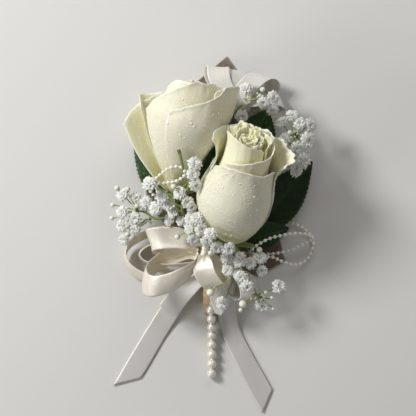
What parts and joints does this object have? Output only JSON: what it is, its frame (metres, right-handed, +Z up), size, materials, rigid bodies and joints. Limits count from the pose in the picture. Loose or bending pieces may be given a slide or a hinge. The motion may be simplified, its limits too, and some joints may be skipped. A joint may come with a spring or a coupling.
{
  "type": "corsage",
  "caption": "Corsage of cream roses with leaves, gypsophila, satin bow with long tails, sheer ribbon, bead strings and a pearl drop, lying flat on its backing ribbon.",
  "frame": {"origin": "on the flat underside of the backing ribbon, above the handle's inner end; the surface it lies on is Z = 0", "axes": "+Y from the handle and the ribbon tails to the top of the roses, +X to the viewer's right, +Z up from the surface"},
  "size_m": [0.1034, 0.1806, 0.0611],
  "materials": {
    "petal": "soft cream rose petal, fresh, stood in by fabric",
    "calyx": "yellow-green sepals and hip",
    "leaf": "dark green waxy rose leaf",
    "floret": "white gypsophila with green stems",
    "satin": "cream satin ribbon",
    "organza": "sheer grey-cream ribbon",
    "pearl": "pearl beads",
    "taupe": "matt taupe ribbon",
    "tape": "tan floral tape"
  },
  "bodies": {
    "root": {"backing_ribbon": "taupe", "taped_stems": "tape", "rose_upper_petals": "petal", "rose_upper_calyx": "calyx", "rose_lower_petals": "petal", "rose_lower_calyx": "calyx", "leaf_left": "leaf", "leaf_between": "leaf", "leaf_top": "leaf", "leaf_right": "leaf", "leaf_low": "leaf", "gypsophila_left": "floret", "gypsophila_upper": "floret", "gypsophila_centre": "floret", "gypsophila_low": "floret", "gypsophila_right": "floret", "gypsophila_top": "floret", "satin_bow": "satin", "satin_tail_left": "satin", "satin_tail_right": "satin", "organza_top": "organza", "organza_low": "organza", "pearl_drop": "pearl", "beads_left": "pearl", "beads_right_upper": "pearl", "beads_right_lower": "pearl"}
  },
  "joints": []
}
